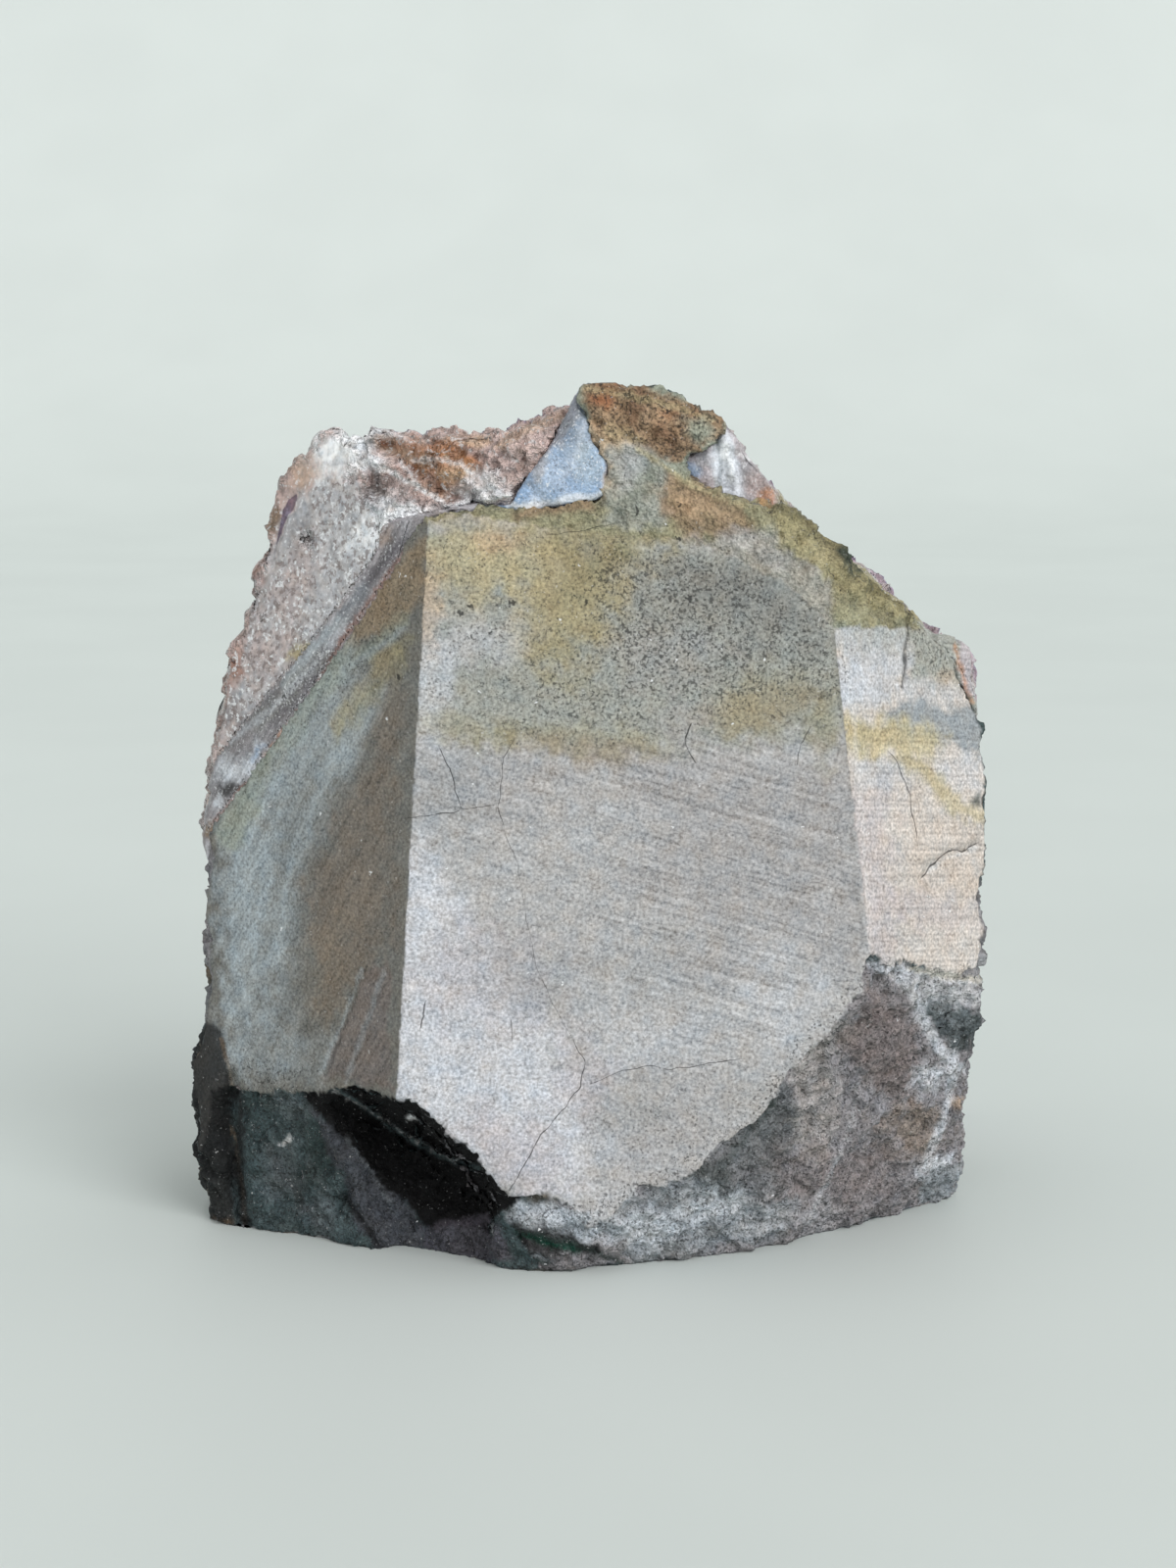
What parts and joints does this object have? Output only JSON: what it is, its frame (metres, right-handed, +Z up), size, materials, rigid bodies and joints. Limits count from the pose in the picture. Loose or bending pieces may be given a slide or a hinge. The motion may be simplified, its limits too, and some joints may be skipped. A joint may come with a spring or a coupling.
{
  "type": "amethyst cluster",
  "caption": "Upright block of geode wall on a flat sawn base: sawn basalt back, thin agate band, rough quartz crest and a bed of amethyst crystals on the far side.",
  "frame": {"origin": "centre of the bounding box at the height of the flat sawn base", "axes": "+Z up from the base, +Y from the sawn back towards the crystals, +X to the right of someone who faces the sawn back"},
  "size_m": [0.1056, 0.0846, 0.1118],
  "materials": {
    "basalt": "sawn, matt, with broken sides",
    "chalcedony": "sawn and broken, waxy",
    "amethyst": "clear violet crystals on a milky quartz bed"
  },
  "bodies": {
    "root": {"basalt_matrix": "basalt", "chalcedony_band": "chalcedony", "amethyst_druse": "amethyst"}
  },
  "joints": []
}
